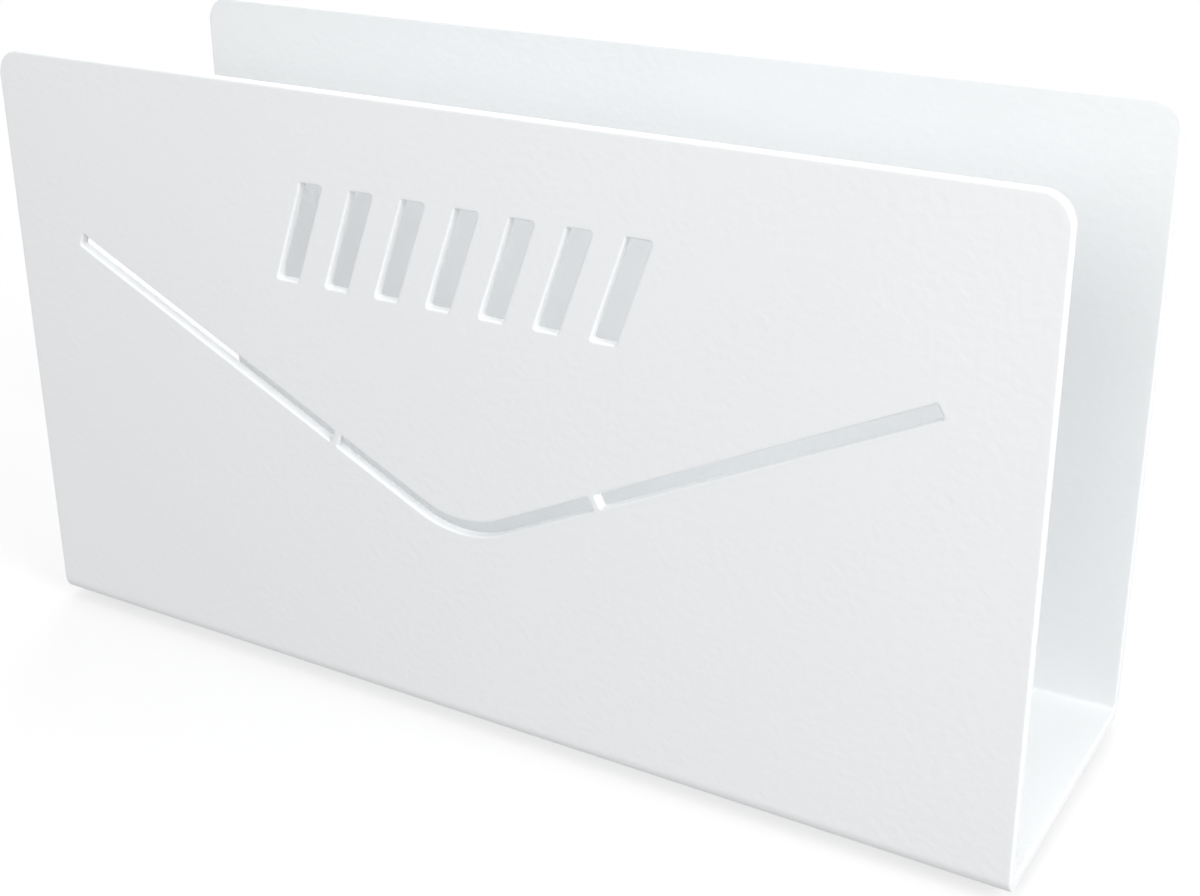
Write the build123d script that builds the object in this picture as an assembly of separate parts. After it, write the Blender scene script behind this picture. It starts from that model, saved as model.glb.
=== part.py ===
from build123d import *
import math
import os

# Letter tray: one steel sheet, laser cut, folded into an upright U and powder coated. It stands on
# four stick-on rubber feet. Millimetres, +Z up. The origin is on the table under the middle of the
# tray, X runs along the tray and the front panel faces -Y.

# Folded sheet
TRAY_LENGTH = 240.0  # along X, from open end to open end
TRAY_DEPTH = 72.0  # outside of the front panel to outside of the back panel
PANEL_HEIGHT = 135.0  # underside of the base to the top rims
SHEET_THICKNESS = 2.5
BEND_INNER_RADIUS = 1.0
TOP_CORNER_RADIUS = 6.0
EDGE_BREAK = 0.3  # chamfer on every cut edge, under the powder coat

# Envelope flap, a slot through the front panel
FLAP_END_MARGIN = 19.5  # end of the tray to the end of each arm, along X
FLAP_END_DROP = 41.1  # top rim down to the end of each arm
FLAP_DEPTH = 49.4  # end of each arm down to where the two arms would meet
FLAP_TIP_RADIUS = 22.0  # on the slot's middle line
FLAP_SLOT_WIDTH = 3.0
FLAP_CORNER_RADIUS = 0.5
BRIDGE_OFFSET = 31.7  # middle of the tray to each bridge, along X
BRIDGE_WIDTH = 1.8  # along the slot

# Row of slanting stripes through the front panel, above the flap's tip
STRIPE_COUNT = 7
STRIPE_PITCH = 12.6
STRIPE_WIDTH = 5.5  # along X
STRIPE_HEIGHT = 21.6
STRIPE_SLANT = 20.0  # degrees from upright, tops towards +X
STRIPE_CORNER_RADIUS = 0.5
STRIPE_DROP = 30.2  # top rim down to the middle of the row

# Feet and the adhesive discs that hold them under the base
FOOT_DIAMETER = 12.0  # at the top, against the adhesive
FOOT_TREAD_DIAMETER = 11.0  # at the table, before its edge is chamfered
FOOT_EDGE_CHAMFER = 0.6
FOOT_HEIGHT = 2.0
FOOT_END_INSET = 16.0  # end of the tray to the middle of a foot, along X
FOOT_SIDE_INSET = 14.0  # outside of a panel to the middle of a foot, along Y
TAPE_THICKNESS = 0.3
TAPE_MARGIN = 0.4  # edge of the adhesive inside the foot's edge

SHEET_UNDERSIDE = FOOT_HEIGHT + TAPE_THICKNESS
TOP_RIM = SHEET_UNDERSIDE + PANEL_HEIGHT
HALF_DEPTH = TRAY_DEPTH / 2


def flap_slot():
    """The flap's V in three lengths with a bridge between them, drawn down from the top rim's middle."""
    reach = TRAY_LENGTH / 2 - FLAP_END_MARGIN
    arm_length = math.hypot(reach, FLAP_DEPTH)
    bridge_at = BRIDGE_OFFSET * arm_length / reach
    tip = Vector(0, -FLAP_END_DROP - FLAP_DEPTH)
    left_arm = Vector(-reach, FLAP_DEPTH) / arm_length
    right_arm = Vector(reach, FLAP_DEPTH) / arm_length
    inner_end = bridge_at - BRIDGE_WIDTH / 2
    outer_start = bridge_at + BRIDGE_WIDTH / 2

    tip_line = FilletPolyline(
        tip + left_arm * inner_end,
        tip,
        tip + right_arm * inner_end,
        radius=FLAP_TIP_RADIUS,
    )
    slot = trace(tip_line, FLAP_SLOT_WIDTH)
    for arm in (left_arm, right_arm):
        slot += trace(Line(tip + arm * outer_start, tip + arm * arm_length), FLAP_SLOT_WIDTH)
    ends = slot.edges().filter_by(lambda edge: abs(edge.length - FLAP_SLOT_WIDTH) < 0.01)
    return fillet(ends.vertices(), FLAP_CORNER_RADIUS)


def stripe_row():
    """Equal parallelograms side by side, drawn down from the top rim's middle."""
    lean = STRIPE_HEIGHT * math.tan(math.radians(STRIPE_SLANT))
    stripe = Polygon(
        (0, 0),
        (STRIPE_WIDTH, 0),
        (STRIPE_WIDTH + lean, STRIPE_HEIGHT),
        (lean, STRIPE_HEIGHT),
        align=(Align.CENTER, Align.CENTER),
    )
    stripe = fillet(stripe.vertices(), STRIPE_CORNER_RADIUS)
    row = Sketch() + [place * stripe for place in GridLocations(STRIPE_PITCH, 0, STRIPE_COUNT, 1)]
    return Pos(0, -STRIPE_DROP) * row


def cut_edges(sheet):
    """Every edge left by cutting: not the seams through the thickness nor the lines where the bends start."""
    bend_lines = sheet.edges().group_by(SortBy.LENGTH)[-1]
    return sheet.edges().filter_by(Axis.Y, reverse=True) - bend_lines


def folded_sheet():
    """Front panel, base and back panel in one sheet with two right-angle bends."""
    half_sheet = SHEET_THICKNESS / 2
    side = HALF_DEPTH - half_sheet
    floor = SHEET_UNDERSIDE + half_sheet
    middle_line = FilletPolyline(
        (-side, TOP_RIM),
        (-side, floor),
        (side, floor),
        (side, TOP_RIM),
        radius=BEND_INNER_RADIUS + half_sheet,
    )
    section = Plane.YZ * trace(middle_line, SHEET_THICKNESS)
    sheet = extrude(section, TRAY_LENGTH / 2, both=True)
    top_corners = sheet.edges().filter_by(Axis.Y).group_by(Axis.Z)[-1]
    sheet = fillet(top_corners, TOP_CORNER_RADIUS)

    front = Plane((0, -HALF_DEPTH, TOP_RIM), x_dir=(1, 0, 0), z_dir=(0, -1, 0))
    for cut_out in (flap_slot(), stripe_row()):
        sheet -= extrude(front * cut_out, 2 * SHEET_THICKNESS, both=True)
    return chamfer(cut_edges(sheet), EDGE_BREAK)


def foot():
    """A moulded foot standing on the table at the origin, narrower at its tread."""
    with BuildPart() as pad:
        with BuildSketch():
            Circle(FOOT_TREAD_DIAMETER / 2)
        with BuildSketch(Plane.XY.offset(FOOT_HEIGHT)):
            Circle(FOOT_DIAMETER / 2)
        loft()
        chamfer(pad.faces().sort_by(Axis.Z)[0].edges(), FOOT_EDGE_CHAMFER)
    return pad.part


def foot_tape():
    """The adhesive disc on top of a foot."""
    radius = FOOT_DIAMETER / 2 - TAPE_MARGIN
    disc = Cylinder(radius, TAPE_THICKNESS, align=(Align.CENTER, Align.CENTER, Align.MIN))
    return Pos(0, 0, FOOT_HEIGHT) * disc


def foot_places():
    """Each foot's name and where it stands."""
    along = TRAY_LENGTH / 2 - FOOT_END_INSET
    across = HALF_DEPTH - FOOT_SIDE_INSET
    for row, y in (("front", -across), ("rear", across)):
        for end, x in (("left", -along), ("right", along)):
            yield f"{row}_{end}", Pos(x, y, 0)


nodes = {"folded_sheet": folded_sheet()}
for name, place in foot_places():
    nodes[f"foot_{name}"] = place * foot()
    nodes[f"foot_tape_{name}"] = place * foot_tape()

os.makedirs("parts", exist_ok=True)
for name, solid in nodes.items():
    export_step(solid, f"parts/{name}.step")
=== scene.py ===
import math

import bpy
from mathutils import Matrix, Vector


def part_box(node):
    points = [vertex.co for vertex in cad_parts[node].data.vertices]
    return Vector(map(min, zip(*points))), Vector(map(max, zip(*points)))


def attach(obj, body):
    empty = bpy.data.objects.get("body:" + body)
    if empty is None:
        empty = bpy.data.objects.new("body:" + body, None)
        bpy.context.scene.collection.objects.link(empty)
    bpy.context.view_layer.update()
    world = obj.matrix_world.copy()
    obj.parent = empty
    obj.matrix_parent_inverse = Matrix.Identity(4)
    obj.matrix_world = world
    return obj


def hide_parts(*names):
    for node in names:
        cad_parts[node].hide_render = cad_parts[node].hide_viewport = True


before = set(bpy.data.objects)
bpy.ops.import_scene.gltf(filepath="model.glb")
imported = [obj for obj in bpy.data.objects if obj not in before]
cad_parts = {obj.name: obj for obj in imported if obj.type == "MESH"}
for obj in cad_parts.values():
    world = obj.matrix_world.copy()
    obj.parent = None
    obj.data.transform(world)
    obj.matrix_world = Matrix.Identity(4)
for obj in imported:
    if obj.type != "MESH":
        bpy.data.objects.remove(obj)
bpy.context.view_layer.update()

bl_info = {
    "name": "Letter tray",
    "version": (1, 0, 0),
    "blender": (4, 5, 0),
    "location": "View3D > Sidebar > Letter tray",
    "description": "Folds a laser-cut, powder-coated letter tray and sets it on rubber feet",
    "category": "Add Mesh",
}

MM = 0.001
SHEET_LOW, SHEET_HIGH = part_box("folded_sheet")
FOOT_LOW, FOOT_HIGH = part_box("foot_front_left")
FILM_LOW, FILM_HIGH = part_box("foot_tape_front_left")

# Steps that make up each round
CORNER_STEPS = 16  # the panels' free corners and the flap's tip
SMALL_CORNER_STEPS = 5  # the corners of the cut-outs and the rounded cut edges
TREAD_EDGE_STEPS = 6
FOOT_TOP_STEPS = 4
FILM_EDGE_STEPS = 8
TURN_STEPS = 48  # once round a foot or a disc

# A foot's tread, from the foot's axis outwards
DIMPLE_FLOOR_RADIUS = 0.8 * MM
DIMPLE_RADIUS = 1.0 * MM
RING_RADII = (2.2 * MM, 3.5 * MM)
RING_FLOOR_HALF_WIDTH = 0.1 * MM
RING_HALF_WIDTH = 0.25 * MM
FOOT_TOP_ROUNDING = 0.2 * MM

SHEET_MERGE = 0.002 * MM  # points of the sheet closer than this are one

# Studio, in metres and watts
FLOOR_REACH = 3.0  # middle of the floor paper to its edges
SHADOW_NEAR = 0.15  # from the middle of the tray to where shadows start to fade out
SHADOW_FAR = 0.4  # and to where they have gone
WHITE_NEAR = 0.55  # share of plain white in the paper beside the tray
ROOM_LEVEL = 0.49  # even light from all round
LAMP_TARGET = Vector((0, 0, 0.07))
SOFTBOXES = (  # name, place, diameter, power
    ("softbox_front", (0.09, -0.74, 0.42), 0.4, 1.75),
    ("softbox_top", (-0.30, 0.00, 1.10), 0.8, 2.0),
    ("softbox_over_back", (0.00, 0.45, 0.95), 0.6, 1.75),
    ("softbox_right", (0.80, -0.25, 0.44), 0.5, 5.2),
    ("softbox_back", (-0.50, 0.70, 0.25), 0.36, 1.9),
)
CAMERA_PLACE = (0.19504, -0.31442, 0.21968)
SENSOR_WIDTH = 36.0  # millimetres
LENS_SHIFT = (0.0363, -0.0540)  # the photograph is an off-centre crop


def linear(colour):
    """An sRGB hex colour as linear red, green, blue and full alpha."""
    parts = [int(colour[k:k + 2], 16) / 255 for k in (1, 3, 5)]
    parts = [p / 12.92 if p <= 0.04045 else ((p + 0.055) / 1.055) ** 2.4 for p in parts]
    return tuple(parts) + (1.0,)


WHITE = linear("#FFFFFF")


def shaded(colour, share):
    """A colour made that much darker or lighter."""
    return tuple(part * share for part in colour[:3]) + (1.0,)


class LetterTraySheet(bpy.types.PropertyGroup):
    """Sizes of the folded sheet."""

    length: bpy.props.FloatProperty(
        name="Length", description="From open end to open end",
        default=SHEET_HIGH.x - SHEET_LOW.x, unit="LENGTH")
    depth: bpy.props.FloatProperty(
        name="Depth", description="Over the outsides of both panels",
        default=SHEET_HIGH.y - SHEET_LOW.y, unit="LENGTH")
    top: bpy.props.FloatProperty(
        name="Top", description="Table to the top rims", default=SHEET_HIGH.z, unit="LENGTH")
    underside: bpy.props.FloatProperty(
        name="Underside", description="Table to the underside of the base",
        default=SHEET_LOW.z, unit="LENGTH")
    thickness: bpy.props.FloatProperty(
        name="Thickness", description="Sheet with its coat", default=2.5 * MM, unit="LENGTH")
    bend_radius: bpy.props.FloatProperty(
        name="Bend radius", description="Inside of both bends", default=1.0 * MM, unit="LENGTH")
    bend_steps: bpy.props.IntProperty(
        name="Bend steps", description="Flats that make up each bend", default=12, min=3)
    corner_radius: bpy.props.FloatProperty(
        name="Corner radius", description="Free corners of both panels",
        default=6.0 * MM, unit="LENGTH")
    edge_radius: bpy.props.FloatProperty(
        name="Edge radius", description="Coat rounded over each cut edge",
        default=0.4 * MM, unit="LENGTH")


class LetterTrayFlap(bpy.types.PropertyGroup):
    """Sizes of the envelope-flap slot in the front panel."""

    end_margin: bpy.props.FloatProperty(
        name="End margin", description="End of the tray to the end of each arm",
        default=19.5 * MM, unit="LENGTH")
    end_drop: bpy.props.FloatProperty(
        name="End drop", description="Top rim down to the end of each arm",
        default=41.1 * MM, unit="LENGTH")
    depth: bpy.props.FloatProperty(
        name="Depth", description="End of each arm down to where the arms would meet",
        default=49.4 * MM, unit="LENGTH")
    tip_radius: bpy.props.FloatProperty(
        name="Tip radius", description="On the slot's middle line",
        default=22.0 * MM, unit="LENGTH")
    width: bpy.props.FloatProperty(
        name="Slot width", description="Across the slot", default=3.0 * MM, unit="LENGTH")
    corner_radius: bpy.props.FloatProperty(
        name="Corner radius", description="Corners at the slot's ends",
        default=0.5 * MM, unit="LENGTH")
    bridge_offset: bpy.props.FloatProperty(
        name="Bridge offset", description="Middle of the tray to each bridge",
        default=31.7 * MM, unit="LENGTH")
    bridge_width: bpy.props.FloatProperty(
        name="Bridge width", description="Sheet left standing, along the slot",
        default=1.8 * MM, unit="LENGTH")


class LetterTrayStripes(bpy.types.PropertyGroup):
    """Sizes of the row of slanting stripes in the front panel."""

    count: bpy.props.IntProperty(
        name="Stripes", description="Stripes in the row", default=7, min=1)
    pitch: bpy.props.FloatProperty(
        name="Pitch", description="Stripe to stripe", default=12.6 * MM, unit="LENGTH")
    width: bpy.props.FloatProperty(
        name="Width", description="Along the tray", default=5.5 * MM, unit="LENGTH")
    height: bpy.props.FloatProperty(
        name="Height", description="Upright", default=21.6 * MM, unit="LENGTH")
    slant: bpy.props.FloatProperty(
        name="Slant", description="From upright, tops to the right",
        default=math.radians(20), subtype="ANGLE")
    corner_radius: bpy.props.FloatProperty(
        name="Corner radius", description="Each stripe's corners", default=0.5 * MM, unit="LENGTH")
    drop: bpy.props.FloatProperty(
        name="Drop", description="Top rim down to the middle of the row",
        default=30.2 * MM, unit="LENGTH")


class LetterTrayFeet(bpy.types.PropertyGroup):
    """Sizes of the rubber feet and the adhesive film on them."""

    diameter: bpy.props.FloatProperty(
        name="Diameter", description="At the top of a foot",
        default=FOOT_HIGH.x - FOOT_LOW.x, unit="LENGTH")
    tread_diameter: bpy.props.FloatProperty(
        name="Tread diameter", description="At the table, before its rounding",
        default=11.0 * MM, unit="LENGTH")
    height: bpy.props.FloatProperty(
        name="Height", description="Table to the adhesive",
        default=FOOT_HIGH.z - FOOT_LOW.z, unit="LENGTH")
    tread_rounding: bpy.props.FloatProperty(
        name="Tread rounding", description="Edge at the table", default=0.6 * MM, unit="LENGTH")
    groove_depth: bpy.props.FloatProperty(
        name="Groove depth", description="Rings moulded into the tread",
        default=0.25 * MM, unit="LENGTH")
    film_diameter: bpy.props.FloatProperty(
        name="Film diameter", description="Adhesive disc",
        default=FILM_HIGH.x - FILM_LOW.x, unit="LENGTH")
    film_thickness: bpy.props.FloatProperty(
        name="Film thickness", description="Adhesive disc",
        default=FILM_HIGH.z - FILM_LOW.z, unit="LENGTH")
    spacing_x: bpy.props.FloatProperty(
        name="Spacing along", description="Foot to foot along the tray",
        default=-(FOOT_LOW.x + FOOT_HIGH.x), unit="LENGTH")
    spacing_y: bpy.props.FloatProperty(
        name="Spacing across", description="Foot to foot across the tray",
        default=-(FOOT_LOW.y + FOOT_HIGH.y), unit="LENGTH")


class LetterTrayFinish(bpy.types.PropertyGroup):
    """Colours of the tray's materials."""

    coat: bpy.props.FloatVectorProperty(
        name="Powder coat", description="White powder coat",
        subtype="COLOR", size=4, default=linear("#F1F3F4"))
    rubber: bpy.props.FloatVectorProperty(
        name="Rubber", description="Moulded black rubber",
        subtype="COLOR", size=4, default=linear("#222223"))
    film: bpy.props.FloatVectorProperty(
        name="Adhesive film", description="Acrylic foam film",
        subtype="COLOR", size=4, default=linear("#D8D5CB"))


class LetterTrayStage(bpy.types.PropertyGroup):
    """The studio round the tray."""

    paper: bpy.props.FloatVectorProperty(
        name="Floor paper", description="White background paper",
        subtype="COLOR", size=4, default=linear("#F7F7F7"))
    azimuth: bpy.props.FloatProperty(
        name="Azimuth", description="Camera to the right of the front",
        default=math.radians(31.62), subtype="ANGLE")
    elevation: bpy.props.FloatProperty(
        name="Elevation", description="Camera looking down",
        default=math.radians(22.21), subtype="ANGLE")
    roll: bpy.props.FloatProperty(
        name="Roll", description="Camera leaning over",
        default=math.radians(-0.92), subtype="ANGLE")
    focal_length: bpy.props.FloatProperty(
        name="Focal length", description="On a 36 mm wide sensor", default=54.9, unit="CAMERA")


class LetterTraySettings(bpy.types.PropertyGroup):
    """Everything that can be changed on the letter tray."""

    sheet: bpy.props.PointerProperty(
        name="Sheet", description="Folded sheet", type=LetterTraySheet)
    flap: bpy.props.PointerProperty(
        name="Flap", description="Envelope-flap slot", type=LetterTrayFlap)
    stripes: bpy.props.PointerProperty(
        name="Stripes", description="Row of stripes", type=LetterTrayStripes)
    feet: bpy.props.PointerProperty(
        name="Feet", description="Feet and film", type=LetterTrayFeet)
    finish: bpy.props.PointerProperty(
        name="Finish", description="Colours", type=LetterTrayFinish)
    stage: bpy.props.PointerProperty(
        name="Stage", description="Studio", type=LetterTrayStage)


def add_node(tree, kind, inputs=None, **settings):
    """Adds a node. Each input, by name or number, takes a value, an output or a list of outputs."""
    made = tree.nodes.new(kind)
    for name, value in settings.items():
        setattr(made, name, value)
    in_use = {socket.name: socket for socket in made.inputs if socket.enabled}
    for key, value in (inputs or {}).items():
        socket = made.inputs[key] if isinstance(key, int) else in_use[key]
        for feed in value if isinstance(value, list) else [value]:
            if isinstance(feed, bpy.types.NodeSocket):
                tree.links.new(feed, socket)
            else:
                socket.default_value = feed
    return made


def new_tree(name, sockets):
    """An empty Geometry Nodes tree with named inputs, and its input node's outputs."""
    tree = bpy.data.node_groups.new(name, "GeometryNodeTree")
    tree.interface.new_socket("Geometry", in_out="INPUT", socket_type="NodeSocketGeometry")
    for label, kind in sockets.items():
        tree.interface.new_socket(label, in_out="INPUT", socket_type="NodeSocket" + kind)
    tree.interface.new_socket("Geometry", in_out="OUTPUT", socket_type="NodeSocketGeometry")
    return tree, add_node(tree, "NodeGroupInput").outputs


def end_tree(tree, geometry, material):
    """Ends a tree: instances made real, smooth shading and the material."""
    real = add_node(tree, "GeometryNodeRealizeInstances", {"Geometry": geometry})
    smooth = add_node(tree, "GeometryNodeSetShadeSmooth", {"Geometry": real.outputs[0]})
    painted = add_node(
        tree, "GeometryNodeSetMaterial", {"Geometry": smooth.outputs[0], "Material": material})
    add_node(tree, "NodeGroupOutput", {"Geometry": painted.outputs[0]})


def grown_piece(name, mesh, tree, values):
    """Runs a tree on a mesh and keeps the result as a piece with a plain mesh."""
    piece = bpy.data.objects.new(name, mesh)
    bpy.context.scene.collection.objects.link(piece)
    modifier = piece.modifiers.new(tree.name, "NODES")
    modifier.node_group = tree
    for socket in tree.interface.items_tree:
        if socket.in_out == "INPUT" and socket.name in values:
            modifier[socket.identifier] = values[socket.name]
    evaluated = piece.evaluated_get(bpy.context.evaluated_depsgraph_get())
    plain = bpy.data.meshes.new_from_object(evaluated)
    piece.modifiers.remove(modifier)
    piece.data = plain
    bpy.data.meshes.remove(mesh)
    plain.name = name
    plain.materials.clear()
    plain.materials.append(values["Material"])
    if not plain.polygons:
        raise RuntimeError(f"{name} came out with no faces")
    return piece


def new_material(name):
    """An empty material, its tree, its shader and its Object coordinates."""
    material = bpy.data.materials.new(name)
    material.use_nodes = True
    tree = material.node_tree
    tree.nodes.clear()
    shader = add_node(tree, "ShaderNodeBsdfPrincipled")
    add_node(tree, "ShaderNodeOutputMaterial", {"Surface": shader.outputs[0]})
    place = add_node(tree, "ShaderNodeTexCoord").outputs["Object"]
    return material, tree, shader, place


def white_powder_coat(colour):
    # Polyester powder coat on steel, sprayed and baked: an even satin white that flows out to a
    # faint orange peel about 1.8 mm across, slightly thinner and glossier in broad patches. The
    # peel is drawn 80 microns high, about four times the real one, so that it shows.
    patch_size, peel_size, peel_height = 60 * MM, 1.8 * MM, 0.08 * MM
    material, tree, shader, place = new_material("powder_coated_steel")
    patches = add_node(
        tree, "ShaderNodeTexNoise", {"Vector": place, "Scale": 1 / patch_size, "Detail": 2.0})
    tint = add_node(
        tree, "ShaderNodeMix",
        {"Factor": patches.outputs["Fac"], "A": shaded(colour, 0.985), "B": shaded(colour, 1.015)},
        data_type="RGBA")
    gloss = add_node(
        tree, "ShaderNodeMapRange",
        {"Value": patches.outputs["Fac"], "From Min": 0.3, "From Max": 0.7,
         "To Min": 0.42, "To Max": 0.52})
    peel = add_node(
        tree, "ShaderNodeTexNoise", {"Vector": place, "Scale": 1 / peel_size, "Detail": 1.0})
    bump = add_node(
        tree, "ShaderNodeBump",
        {"Height": peel.outputs["Fac"], "Strength": 1.0, "Distance": peel_height})
    shader.inputs["IOR"].default_value = 1.5
    tree.links.new(tint.outputs[2], shader.inputs["Base Color"])
    tree.links.new(gloss.outputs[0], shader.inputs["Roughness"])
    tree.links.new(bump.outputs[0], shader.inputs["Normal"])
    return material


def black_rubber(colour):
    # Moulded rubber: a matt black, greyed in places by bloom about 5 mm across, with the
    # spark-eroded grain of its mould. The grain is drawn 0.25 mm across, coarser than the real
    # one, so that it shows.
    grain_size, grain_height, bloom_size = 0.25 * MM, 0.03 * MM, 5 * MM
    material, tree, shader, place = new_material("moulded_rubber")
    grain = add_node(
        tree, "ShaderNodeTexNoise", {"Vector": place, "Scale": 1 / grain_size, "Detail": 2.0})
    bloom = add_node(
        tree, "ShaderNodeTexNoise", {"Vector": place, "Scale": 1 / bloom_size, "Detail": 3.0})
    tint = add_node(
        tree, "ShaderNodeMix",
        {"Factor": bloom.outputs["Fac"], "A": shaded(colour, 1.0), "B": shaded(colour, 1.6)},
        data_type="RGBA")
    bump = add_node(
        tree, "ShaderNodeBump",
        {"Height": grain.outputs["Fac"], "Strength": 0.6, "Distance": grain_height})
    shader.inputs["Roughness"].default_value = 0.72
    shader.inputs["IOR"].default_value = 1.52
    tree.links.new(tint.outputs[2], shader.inputs["Base Color"])
    tree.links.new(bump.outputs[0], shader.inputs["Normal"])
    return material


def adhesive_film(colour):
    # Acrylic foam film: a cloudy off-white with tiny cells, satin at its cut edge. The cells are
    # drawn 0.4 mm across, coarser than the real ones, so that they show.
    cell_size, cell_height = 0.4 * MM, 0.02 * MM
    material, tree, shader, place = new_material("acrylic_foam_film")
    cells = add_node(tree, "ShaderNodeTexVoronoi", {"Vector": place, "Scale": 1 / cell_size})
    tint = add_node(
        tree, "ShaderNodeMix",
        {"Factor": cells.outputs["Distance"], "A": shaded(colour, 1.0), "B": shaded(colour, 0.85)},
        data_type="RGBA")
    bump = add_node(
        tree, "ShaderNodeBump",
        {"Height": cells.outputs["Distance"], "Strength": 0.4, "Distance": cell_height})
    shader.inputs["Roughness"].default_value = 0.45
    shader.inputs["IOR"].default_value = 1.47
    tree.links.new(tint.outputs[2], shader.inputs["Base Color"])
    tree.links.new(bump.outputs[0], shader.inputs["Normal"])
    return material


def seen_directly(tree):
    """An output that is 1 for rays from the camera, off a gloss or through a clear piece."""
    path = add_node(tree, "ShaderNodeLightPath").outputs
    seen = path["Is Camera Ray"]
    for ray in ("Is Glossy Ray", "Is Transmission Ray"):
        either = add_node(tree, "ShaderNodeMath", {0: seen, 1: path[ray]}, operation="MAXIMUM")
        seen = either.outputs[0]
    return seen


def background_paper(colour):
    # Matt white background paper. The camera sees it as partly lit, so shadows on it stay faint,
    # and as plain white away from the tray. From underneath it is clear, so that the feet can be
    # seen.
    material = bpy.data.materials.new("background_paper")
    material.use_nodes = True
    tree = material.node_tree
    tree.nodes.clear()
    matt = add_node(tree, "ShaderNodeBsdfDiffuse", {"Color": tuple(colour)})
    glow = add_node(tree, "ShaderNodeEmission", {"Color": WHITE, "Strength": 1.0})
    place = add_node(tree, "ShaderNodeTexCoord").outputs["Object"]
    distance = add_node(tree, "ShaderNodeVectorMath", {0: place}, operation="LENGTH")
    white = add_node(
        tree, "ShaderNodeMapRange",
        {"Value": distance.outputs["Value"], "From Min": SHADOW_NEAR, "From Max": SHADOW_FAR,
         "To Min": WHITE_NEAR, "To Max": 1.0},
        interpolation_type="SMOOTHSTEP")
    share = add_node(
        tree, "ShaderNodeMath",
        {0: seen_directly(tree), 1: white.outputs[0]}, operation="MULTIPLY")
    paper = add_node(
        tree, "ShaderNodeMixShader",
        {0: share.outputs[0], 1: matt.outputs[0], 2: glow.outputs[0]})
    clear = add_node(tree, "ShaderNodeBsdfTransparent")
    under = add_node(tree, "ShaderNodeNewGeometry").outputs["Backfacing"]
    one_sided = add_node(
        tree, "ShaderNodeMixShader", {0: under, 1: paper.outputs[0], 2: clear.outputs[0]})
    add_node(tree, "ShaderNodeOutputMaterial", {"Surface": one_sided.outputs[0]})
    return material


def rounded(corners, steps):
    """A closed outline through corners given as point and radius, with an arc at each."""
    outline = []
    for k, (point, radius) in enumerate(corners):
        if not radius:
            outline.append(point)
            continue
        back = (corners[k - 1][0] - point).normalized()
        ahead = (corners[(k + 1) % len(corners)][0] - point).normalized()
        half = back.angle(ahead) / 2
        middle = point + (back + ahead).normalized() * radius / math.sin(half)
        spoke = point + back * radius / math.tan(half) - middle
        turn = math.copysign(math.pi - 2 * half, ahead.cross(back))
        for step in range(steps + 1):
            outline.append(middle + Matrix.Rotation(turn * step / steps, 2) @ spoke)
    return outline


def wound(outline, area_sign):
    """The outline run so that its area has that sign: +1 round the sheet, -1 round a hole."""
    area = sum(a.cross(b) for a, b in zip(outline, outline[1:] + outline[:1]))
    return outline if area * area_sign > 0 else outline[::-1]


class FlatBlank:
    """The sheet before folding: X along the tray, Y from the base's middle, front panel at -Y."""

    def __init__(self, sheet):
        self.half_length = sheet.length / 2
        self.radius = sheet.bend_radius + sheet.thickness / 2
        self.arc = self.radius * math.pi / 2
        self.half_floor = sheet.depth / 2 - sheet.thickness / 2 - self.radius
        self.floor = sheet.underside + sheet.thickness / 2
        self.rise = sheet.top - self.floor - self.radius
        self.half_width = self.half_floor + self.arc + self.rise

    def outline(self, sheet):
        """The blank's edge, with a point on each end for every line of the bends."""
        step = self.arc / sheet.bend_steps
        lines = [self.half_floor + k * step for k in range(-1, sheet.bend_steps + 2)]
        lines = [-line for line in reversed(lines)] + lines
        x, y, radius = self.half_length, self.half_width, sheet.corner_radius
        right = [(Vector((x, line)), 0) for line in lines]
        right = [(Vector((x, -y)), radius)] + right + [(Vector((x, y)), radius)]
        left = [(Vector((-point.x, -point.y)), corner) for point, corner in right]
        return wound(rounded(right + left, CORNER_STEPS), 1)

    def front(self, x, drop):
        """The place on the front panel that far below its top rim."""
        return Vector((x, drop - self.half_width))

    def flap(self, flap):
        """The flap's V as three holes: its tip, and an arm beyond each bridge."""
        reach = self.half_length - flap.end_margin
        tip = self.front(0, flap.end_drop + flap.depth)
        half = flap.width / 2
        arms = []
        holes = []
        for side in (-1, 1):
            end = self.front(side * reach, flap.end_drop)
            along = (end - tip).normalized()
            up = Vector((-side * along.y, side * along.x)) * -half
            bridge = tip + along * (flap.bridge_offset * (end - tip).length / reach)
            inner = bridge - along * flap.bridge_width / 2
            outer = bridge + along * flap.bridge_width / 2
            arms.append((inner + up, inner - up))
            ends = [outer + up, end + up, end - up, outer - up]
            ends = [(point, flap.corner_radius) for point in ends]
            holes.append(rounded(ends, SMALL_CORNER_STEPS))
        (left_up, left_down), (right_up, right_down) = arms
        slope = math.atan2(flap.depth, reach)
        spread = Vector((0, half / math.cos(slope)))
        corner = flap.corner_radius
        holes.append(rounded([
            (left_up, corner), (tip - spread, flap.tip_radius - half), (right_up, corner),
            (right_down, corner), (tip + spread, flap.tip_radius + half), (left_down, corner)],
            CORNER_STEPS))
        return [wound(hole, -1) for hole in holes]


def drawn(name, outlines):
    """A mesh of closed outlines with no faces."""
    points, edges = [], []
    for outline in outlines:
        first, count = len(points), len(outline)
        points += [point.to_3d() for point in outline]
        edges += [(first + k, first + (k + 1) % count) for k in range(count)]
    mesh = bpy.data.meshes.new(name)
    mesh.from_pydata(points, edges, [])
    return mesh


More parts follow.
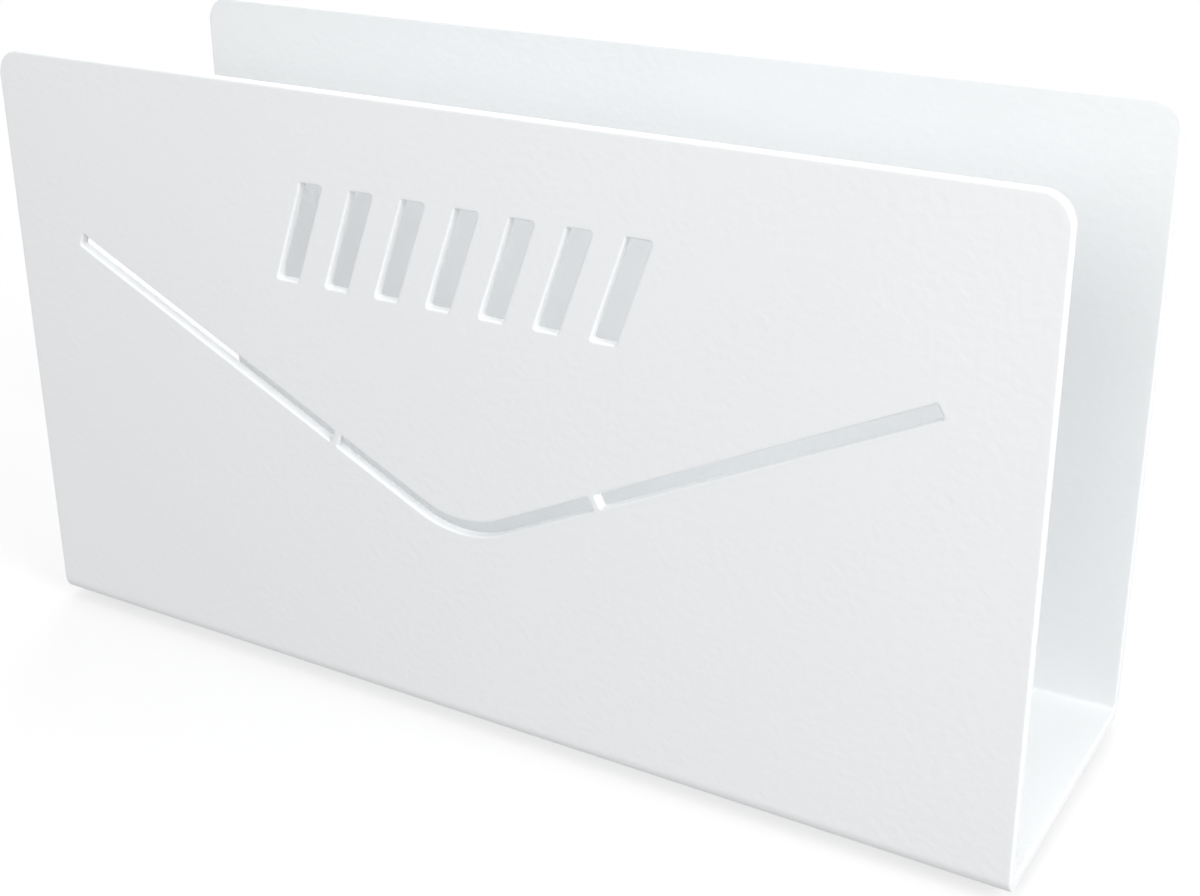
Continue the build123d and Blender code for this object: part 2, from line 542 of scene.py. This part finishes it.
def folded_sheet_tree():
    """Adds the stripes to the outlines drawn on the blank, cuts it out, and folds it."""
    tree, given = new_tree("cut_and_folded_sheet", {
        "Length": "Float", "Thickness": "Float", "Edge radius": "Float", "Half floor": "Float",
        "Bend radius": "Float", "Bend steps": "Int", "Floor height": "Float", "Stripes": "Int",
        "Stripe pitch": "Float", "Stripe width": "Float", "Stripe height": "Float",
        "Stripe lean": "Float", "Stripe corner radius": "Float", "Stripe row": "Float",
        "Material": "Material"})

    # Stripe outlines, one copied along a row
    stripe = add_node(
        tree, "GeometryNodeCurvePrimitiveQuadrilateral",
        {"Width": given["Stripe width"], "Height": given["Stripe height"],
         "Offset": given["Stripe lean"]},
        mode="PARALLELOGRAM")
    stripe = add_node(
        tree, "GeometryNodeFilletCurve",
        {"Curve": stripe.outputs[0], "Count": SMALL_CORNER_STEPS,
         "Radius": given["Stripe corner radius"]},
        mode="POLY")
    stripe = add_node(tree, "GeometryNodeReverseCurve", {"Curve": stripe.outputs[0]})
    gaps = add_node(tree, "ShaderNodeMath", {0: given["Stripes"], 1: 1.0}, operation="SUBTRACT")
    row_length = add_node(
        tree, "ShaderNodeMath",
        {0: gaps.outputs[0], 1: given["Stripe pitch"]}, operation="MULTIPLY")
    row_start = add_node(
        tree, "ShaderNodeMath", {0: row_length.outputs[0], 1: -0.5}, operation="MULTIPLY")
    first = add_node(
        tree, "ShaderNodeCombineXYZ", {"X": row_start.outputs[0], "Y": given["Stripe row"]})
    pitch = add_node(tree, "ShaderNodeCombineXYZ", {"X": given["Stripe pitch"]})
    row = add_node(
        tree, "GeometryNodeMeshLine",
        {"Count": given["Stripes"], "Start Location": first.outputs[0], "Offset": pitch.outputs[0]})
    stripes = add_node(
        tree, "GeometryNodeInstanceOnPoints",
        {"Points": row.outputs[0], "Instance": stripe.outputs[0]})
    stripes = add_node(tree, "GeometryNodeRealizeInstances", {"Geometry": stripes.outputs[0]})

    # Cut edges: half the sheet's thickness either way, rounded, with a narrow flat margin beside
    drawn_lines = add_node(tree, "GeometryNodeMeshToCurve", {"Mesh": given["Geometry"]})
    outlines = add_node(
        tree, "GeometryNodeJoinGeometry",
        {"Geometry": [drawn_lines.outputs[0], stripes.outputs[0]]})
    outlines = add_node(
        tree, "GeometryNodeSetCurveNormal", {"Curve": outlines.outputs[0]}, mode="Z_UP")
    half = add_node(tree, "ShaderNodeMath", {0: given["Thickness"], 1: 0.5}, operation="MULTIPLY")
    minus_half = add_node(
        tree, "ShaderNodeMath", {0: given["Thickness"], 1: -0.5}, operation="MULTIPLY")
    margin = add_node(
        tree, "ShaderNodeMath", {0: given["Edge radius"], 1: 2.0}, operation="MULTIPLY")
    inward = add_node(tree, "ShaderNodeMath", {0: margin.outputs[0], 1: -1.0}, operation="MULTIPLY")
    upper_margin = add_node(
        tree, "ShaderNodeCombineXYZ", {"X": inward.outputs[0], "Y": half.outputs[0]})
    upper_corner = add_node(tree, "ShaderNodeCombineXYZ", {"Y": half.outputs[0]})
    lower_corner = add_node(tree, "ShaderNodeCombineXYZ", {"Y": minus_half.outputs[0]})
    lower_margin = add_node(
        tree, "ShaderNodeCombineXYZ", {"X": inward.outputs[0], "Y": minus_half.outputs[0]})
    profile = add_node(
        tree, "GeometryNodeCurvePrimitiveQuadrilateral",
        {"Point 1": lower_margin.outputs[0], "Point 2": lower_corner.outputs[0],
         "Point 3": upper_corner.outputs[0], "Point 4": upper_margin.outputs[0]}, mode="POINTS")
    profile = add_node(
        tree, "GeometryNodeSetSplineCyclic", {"Geometry": profile.outputs[0], "Cyclic": False})
    profile = add_node(
        tree, "GeometryNodeFilletCurve",
        {"Curve": profile.outputs[0], "Count": SMALL_CORNER_STEPS, "Radius": given["Edge radius"]},
        mode="POLY")
    rims = add_node(
        tree, "GeometryNodeCurveToMesh",
        {"Curve": outlines.outputs[0], "Profile Curve": profile.outputs[0]})

    # Flat skins: each panel filled up to its rims and cut-outs
    arc = add_node(
        tree, "ShaderNodeMath", {0: given["Bend radius"], 1: math.pi / 2}, operation="MULTIPLY")
    step = add_node(
        tree, "ShaderNodeMath", {0: arc.outputs[0], 1: given["Bend steps"]}, operation="DIVIDE")
    bend_end = add_node(
        tree, "ShaderNodeMath", {0: given["Half floor"], 1: arc.outputs[0]}, operation="ADD")
    panel_start = add_node(
        tree, "ShaderNodeMath", {0: bend_end.outputs[0], 1: step.outputs[0]}, operation="ADD")
    place = add_node(tree, "GeometryNodeInputPosition")
    place = add_node(tree, "ShaderNodeSeparateXYZ", {0: place.outputs[0]})
    faces = add_node(tree, "GeometryNodeInputMeshEdgeNeighbors")
    open_edge = add_node(
        tree, "FunctionNodeCompare",
        {2: faces.outputs[0], 3: 1}, data_type="INT", operation="EQUAL")
    upper = add_node(
        tree, "FunctionNodeCompare", {0: place.outputs["Z"], 1: 0.0}, operation="GREATER_THAN")
    upper_edge = add_node(
        tree, "FunctionNodeBooleanMath", {0: open_edge.outputs[0], 1: upper.outputs[0]})
    skins = []
    for side in (-1.0, 1.0):
        outward = add_node(
            tree, "ShaderNodeMath", {0: place.outputs["Y"], 1: side}, operation="MULTIPLY")
        beyond = add_node(
            tree, "FunctionNodeCompare",
            {0: outward.outputs[0], 1: panel_start.outputs[0]}, operation="GREATER_THAN")
        chosen = add_node(
            tree, "FunctionNodeBooleanMath", {0: upper_edge.outputs[0], 1: beyond.outputs[0]})
        border = add_node(
            tree, "GeometryNodeMeshToCurve",
            {"Mesh": rims.outputs[0], "Selection": chosen.outputs[0]})
        border = add_node(
            tree, "GeometryNodeSetSplineCyclic", {"Geometry": border.outputs[0], "Cyclic": True})
        skins.append(add_node(
            tree, "GeometryNodeFillCurve", {"Curve": border.outputs[0]}).outputs[0])

    # Flat skins: the bends, ruled across, and the base between them
    two_margins = add_node(
        tree, "ShaderNodeMath", {0: margin.outputs[0], 1: 2.0}, operation="MULTIPLY")
    across = add_node(
        tree, "ShaderNodeMath",
        {0: given["Length"], 1: two_margins.outputs[0]}, operation="SUBTRACT")
    bend_depth = add_node(
        tree, "ShaderNodeMath",
        {0: step.outputs[0], 1: 2.0, 2: arc.outputs[0]}, operation="MULTIPLY_ADD")
    bend_rows = add_node(tree, "ShaderNodeMath", {0: given["Bend steps"], 1: 3.0}, operation="ADD")
    bend = add_node(
        tree, "GeometryNodeMeshGrid",
        {"Size X": across.outputs[0], "Size Y": bend_depth.outputs[0], "Vertices X": 2,
         "Vertices Y": bend_rows.outputs[0]})
    bend_middle = add_node(
        tree, "ShaderNodeMath",
        {0: arc.outputs[0], 1: 0.5, 2: given["Half floor"]}, operation="MULTIPLY_ADD")
    for side in (-1.0, 1.0):
        bend_place = add_node(
            tree, "ShaderNodeMath", {0: bend_middle.outputs[0], 1: side}, operation="MULTIPLY")
        shift = add_node(tree, "ShaderNodeCombineXYZ", {"Y": bend_place.outputs[0]})
        skins.append(add_node(
            tree, "GeometryNodeTransform",
            {"Geometry": bend.outputs[0], "Translation": shift.outputs[0]}).outputs[0])
    half_base = add_node(
        tree, "ShaderNodeMath", {0: given["Half floor"], 1: step.outputs[0]}, operation="SUBTRACT")
    base_depth = add_node(
        tree, "ShaderNodeMath", {0: half_base.outputs[0], 1: 2.0}, operation="MULTIPLY")
    base = add_node(
        tree, "GeometryNodeMeshGrid",
        {"Size X": across.outputs[0], "Size Y": base_depth.outputs[0],
         "Vertices X": 2, "Vertices Y": 2})
    skins.append(base.outputs[0])

    # The two skins joined to the rims
    skin = add_node(tree, "GeometryNodeJoinGeometry", {"Geometry": skins})
    up = add_node(tree, "ShaderNodeCombineXYZ", {"Z": half.outputs[0]})
    down = add_node(tree, "ShaderNodeCombineXYZ", {"Z": minus_half.outputs[0]})
    inside = add_node(
        tree, "GeometryNodeSetPosition", {"Geometry": skin.outputs[0], "Offset": up.outputs[0]})
    outside = add_node(
        tree, "GeometryNodeSetPosition", {"Geometry": skin.outputs[0], "Offset": down.outputs[0]})
    outside = add_node(tree, "GeometryNodeFlipFaces", {"Mesh": outside.outputs[0]})
    blank = add_node(
        tree, "GeometryNodeJoinGeometry",
        {"Geometry": [rims.outputs[0], inside.outputs[0], outside.outputs[0]]})
    blank = add_node(
        tree, "GeometryNodeMergeByDistance",
        {"Geometry": blank.outputs[0], "Distance": SHEET_MERGE})

    # Folding: the sheet turns about each bend's centre, then rises straight
    run = add_node(tree, "ShaderNodeMath", {0: place.outputs["Y"]}, operation="ABSOLUTE")
    side = add_node(tree, "ShaderNodeMath", {0: place.outputs["Y"]}, operation="SIGN")
    on_floor = add_node(
        tree, "ShaderNodeMath", {0: run.outputs[0], 1: given["Half floor"]}, operation="MINIMUM")
    angle = add_node(
        tree, "ShaderNodeMapRange",
        {"Value": run.outputs[0], "From Min": given["Half floor"], "From Max": bend_end.outputs[0],
         "To Min": 0.0, "To Max": math.pi / 2})
    past = add_node(
        tree, "ShaderNodeMath", {0: run.outputs[0], 1: bend_end.outputs[0]}, operation="SUBTRACT")
    rise = add_node(tree, "ShaderNodeMath", {0: past.outputs[0], 1: 0.0}, operation="MAXIMUM")
    radius = add_node(
        tree, "ShaderNodeMath",
        {0: given["Bend radius"], 1: place.outputs["Z"]}, operation="SUBTRACT")
    sine = add_node(tree, "ShaderNodeMath", {0: angle.outputs[0]}, operation="SINE")
    cosine = add_node(tree, "ShaderNodeMath", {0: angle.outputs[0]}, operation="COSINE")
    reach = add_node(
        tree, "ShaderNodeMath", {0: radius.outputs[0], 1: sine.outputs[0], 2: on_floor.outputs[0]},
        operation="MULTIPLY_ADD")
    depth = add_node(
        tree, "ShaderNodeMath", {0: reach.outputs[0], 1: side.outputs[0]}, operation="MULTIPLY")
    swing = add_node(
        tree, "ShaderNodeMath", {0: radius.outputs[0], 1: cosine.outputs[0]}, operation="MULTIPLY")
    lift = add_node(
        tree, "ShaderNodeMath",
        {0: given["Bend radius"], 1: swing.outputs[0]}, operation="SUBTRACT")
    lift = add_node(
        tree, "ShaderNodeMath", {0: lift.outputs[0], 1: rise.outputs[0]}, operation="ADD")
    height = add_node(
        tree, "ShaderNodeMath", {0: lift.outputs[0], 1: given["Floor height"]}, operation="ADD")
    folded_place = add_node(
        tree, "ShaderNodeCombineXYZ",
        {"X": place.outputs["X"], "Y": depth.outputs[0], "Z": height.outputs[0]})
    folded = add_node(
        tree, "GeometryNodeSetPosition",
        {"Geometry": blank.outputs[0], "Position": folded_place.outputs[0]})
    end_tree(tree, folded.outputs[0], given["Material"])
    return tree


def four_corners_tree():
    """Sets one thing drawn at the origin under each corner of the tray."""
    tree, given = new_tree("four_corners", {
        "Spacing along": "Float", "Spacing across": "Float", "Material": "Material"})
    corners = add_node(
        tree, "GeometryNodeMeshGrid",
        {"Size X": given["Spacing along"], "Size Y": given["Spacing across"],
         "Vertices X": 2, "Vertices Y": 2})
    copies = add_node(
        tree, "GeometryNodeInstanceOnPoints",
        {"Points": corners.outputs[0], "Instance": given["Geometry"]})
    end_tree(tree, copies.outputs[0], given["Material"])
    return tree


def turned_solid(name, profile):
    """A closed solid turned about Z from radius and height, starting and ending on the axis."""
    (_, low), *rings, (_, high) = profile
    angles = [2 * math.pi * k / TURN_STEPS for k in range(TURN_STEPS)]
    points = [(0, 0, low), (0, 0, high)]
    rows = []
    for radius, height in rings:
        rows.append(range(len(points), len(points) + TURN_STEPS))
        points += [(radius * math.cos(a), radius * math.sin(a), height) for a in angles]
    faces = []
    for k in range(TURN_STEPS):
        ahead = (k + 1) % TURN_STEPS
        faces.append((0, rows[0][ahead], rows[0][k]))
        for inner, outer in zip(rows, rows[1:]):
            faces.append((inner[k], inner[ahead], outer[ahead], outer[k]))
        faces.append((rows[-1][k], rows[-1][ahead], 1))
    mesh = bpy.data.meshes.new(name)
    mesh.from_pydata(points, [], faces)
    return mesh


def arc_points(centre, radius, start, end, steps):
    """Points of radius and height along an arc, angles in degrees."""
    angles = [math.radians(start + (end - start) * k / steps) for k in range(steps + 1)]
    return [(centre[0] + radius * math.cos(a), centre[1] + radius * math.sin(a)) for a in angles]


class LETTERTRAY_OT_coated_sheet(bpy.types.Operator):
    """Cut the blank, round its edges, fold it and coat it"""

    bl_idname = "letter_tray.coated_sheet"
    bl_label = "Coated sheet"

    def execute(self, context):
        settings = context.scene.letter_tray
        sheet, stripes = settings.sheet, settings.stripes
        blank = FlatBlank(sheet)
        outlines = [blank.outline(sheet)] + blank.flap(settings.flap)
        drawing = drawn("blank_outlines", outlines)
        piece = grown_piece("coated_sheet", drawing, folded_sheet_tree(), {
            "Length": sheet.length, "Thickness": sheet.thickness, "Edge radius": sheet.edge_radius,
            "Half floor": blank.half_floor, "Bend radius": blank.radius,
            "Bend steps": sheet.bend_steps,
            "Floor height": blank.floor, "Stripes": stripes.count, "Stripe pitch": stripes.pitch,
            "Stripe width": stripes.width, "Stripe height": stripes.height,
            "Stripe lean": -stripes.height * math.tan(stripes.slant),
            "Stripe corner radius": stripes.corner_radius,
            "Stripe row": blank.front(0, stripes.drop).y,
            "Material": white_powder_coat(settings.finish.coat)})
        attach(piece, "root")
        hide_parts("folded_sheet")
        return {"FINISHED"}


class LETTERTRAY_OT_rubber_feet(bpy.types.Operator):
    """Mould a rubber foot and set one under each corner"""

    bl_idname = "letter_tray.rubber_feet"
    bl_label = "Rubber feet"

    def execute(self, context):
        settings = context.scene.letter_tray
        feet = settings.feet
        groove, rounding = feet.groove_depth, feet.tread_rounding
        tread, top = feet.tread_diameter / 2, feet.diameter / 2
        profile = [(0, groove), (DIMPLE_FLOOR_RADIUS, groove), (DIMPLE_RADIUS, 0)]
        for ring in RING_RADII:
            profile += [(ring - RING_HALF_WIDTH, 0), (ring - RING_FLOOR_HALF_WIDTH, groove)]
            profile += [(ring + RING_FLOOR_HALF_WIDTH, groove), (ring + RING_HALF_WIDTH, 0)]
        profile += arc_points((tread - rounding, rounding), rounding, -90, 0, TREAD_EDGE_STEPS)
        shoulder = (top - FOOT_TOP_ROUNDING, feet.height - FOOT_TOP_ROUNDING)
        profile += arc_points(shoulder, FOOT_TOP_ROUNDING, 0, 90, FOOT_TOP_STEPS)
        profile.append((0, feet.height))
        piece = grown_piece("rubber_feet", turned_solid("foot", profile), four_corners_tree(), {
            "Spacing along": feet.spacing_x, "Spacing across": feet.spacing_y,
            "Material": black_rubber(settings.finish.rubber)})
        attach(piece, "root")
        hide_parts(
            "foot_front_left", "foot_front_right", "foot_rear_left", "foot_rear_right")
        return {"FINISHED"}


class LETTERTRAY_OT_adhesive_discs(bpy.types.Operator):
    """Cut an adhesive disc and set one on each foot"""

    bl_idname = "letter_tray.adhesive_discs"
    bl_label = "Adhesive discs"

    def execute(self, context):
        settings = context.scene.letter_tray
        feet = settings.feet
        low, high = feet.height, feet.height + feet.film_thickness
        bulge = feet.film_thickness / 2
        edge = (feet.film_diameter / 2 - bulge, low + bulge)
        profile = [(0, low)] + arc_points(edge, bulge, -90, 90, FILM_EDGE_STEPS) + [(0, high)]
        piece = grown_piece("adhesive_discs", turned_solid("disc", profile), four_corners_tree(), {
            "Spacing along": feet.spacing_x, "Spacing across": feet.spacing_y,
            "Material": adhesive_film(settings.finish.film)})
        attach(piece, "root")
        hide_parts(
            "foot_tape_front_left", "foot_tape_front_right",
            "foot_tape_rear_left", "foot_tape_rear_right")
        return {"FINISHED"}


class LETTERTRAY_OT_stage(bpy.types.Operator):
    """Lay the floor paper, light the studio and place the camera"""

    bl_idname = "letter_tray.stage"
    bl_label = "Stage"

    def execute(self, context):
        scene = context.scene
        stage = scene.letter_tray.stage
        scene.view_settings.view_transform = "Standard"

        paper = bpy.data.meshes.new("floor_paper")
        corners = [(-1, -1), (1, -1), (1, 1), (-1, 1)]
        corners = [(x * FLOOR_REACH, y * FLOOR_REACH, 0) for x, y in corners]
        paper.from_pydata(corners, [], [(0, 1, 2, 3)])
        paper.materials.append(background_paper(stage.paper))
        floor = bpy.data.objects.new("floor_paper", paper)
        floor.visible_diffuse = False
        scene.collection.objects.link(floor)

        world = bpy.data.worlds.new("studio")
        world.use_nodes = True
        tree = world.node_tree
        tree.nodes.clear()
        room = add_node(tree, "ShaderNodeBackground", {"Color": WHITE, "Strength": ROOM_LEVEL})
        white = add_node(tree, "ShaderNodeBackground", {"Color": WHITE, "Strength": 1.0})
        mixed = add_node(
            tree, "ShaderNodeMixShader",
            {0: seen_directly(tree), 1: room.outputs[0], 2: white.outputs[0]})
        add_node(tree, "ShaderNodeOutputWorld", {"Surface": mixed.outputs[0]})
        scene.world = world

        for name, place, diameter, power in SOFTBOXES:
            lamp = bpy.data.lights.new(name, "AREA")
            lamp.shape = "DISK"
            lamp.size = diameter
            lamp.energy = power
            holder = bpy.data.objects.new(name, lamp)
            holder.location = place
            aim = LAMP_TARGET - Vector(place)
            holder.rotation_euler = aim.to_track_quat("-Z", "Y").to_euler()
            scene.collection.objects.link(holder)

        lens = bpy.data.cameras.new("photo_camera")
        lens.sensor_width = SENSOR_WIDTH
        lens.lens = stage.focal_length
        lens.shift_x, lens.shift_y = LENS_SHIFT
        lens.clip_start = 0.01
        lens.clip_end = 20.0
        camera = bpy.data.objects.new("photo_camera", lens)
        turn = Matrix.Rotation(stage.azimuth, 4, "Z")
        turn = turn @ Matrix.Rotation(math.pi / 2 - stage.elevation, 4, "X")
        turn = turn @ Matrix.Rotation(stage.roll, 4, "Z")
        camera.matrix_world = Matrix.Translation(CAMERA_PLACE) @ turn
        scene.collection.objects.link(camera)
        scene.camera = camera
        return {"FINISHED"}


class LETTERTRAY_PT_panel(bpy.types.Panel):
    """The letter tray's sizes, colours and pieces"""

    bl_label = "Letter tray"
    bl_idname = "LETTERTRAY_PT_panel"
    bl_space_type = "VIEW_3D"
    bl_region_type = "UI"
    bl_category = "Letter tray"

    def draw(self, context):
        settings = context.scene.letter_tray
        for part in settings.__annotations__:
            group = getattr(settings, part)
            box = self.layout.box()
            box.label(text=part.title())
            for name in group.__annotations__:
                box.prop(group, name)
        for operator in OPERATORS:
            self.layout.operator(operator.bl_idname)


GROUPS = (
    LetterTraySheet, LetterTrayFlap, LetterTrayStripes, LetterTrayFeet, LetterTrayFinish,
    LetterTrayStage, LetterTraySettings,
)
OPERATORS = (
    LETTERTRAY_OT_coated_sheet, LETTERTRAY_OT_rubber_feet, LETTERTRAY_OT_adhesive_discs,
    LETTERTRAY_OT_stage,
)
CLASSES = GROUPS + OPERATORS + (LETTERTRAY_PT_panel,)


def register():
    for kind in CLASSES:
        bpy.utils.register_class(kind)
    bpy.types.Scene.letter_tray = bpy.props.PointerProperty(type=LetterTraySettings)


def unregister():
    del bpy.types.Scene.letter_tray
    for kind in reversed(CLASSES):
        bpy.utils.unregister_class(kind)


def main():
    register()
    bpy.ops.letter_tray.coated_sheet()
    bpy.ops.letter_tray.rubber_feet()
    bpy.ops.letter_tray.adhesive_discs()
    bpy.ops.letter_tray.stage()


if __name__ == "__main__":
    main()
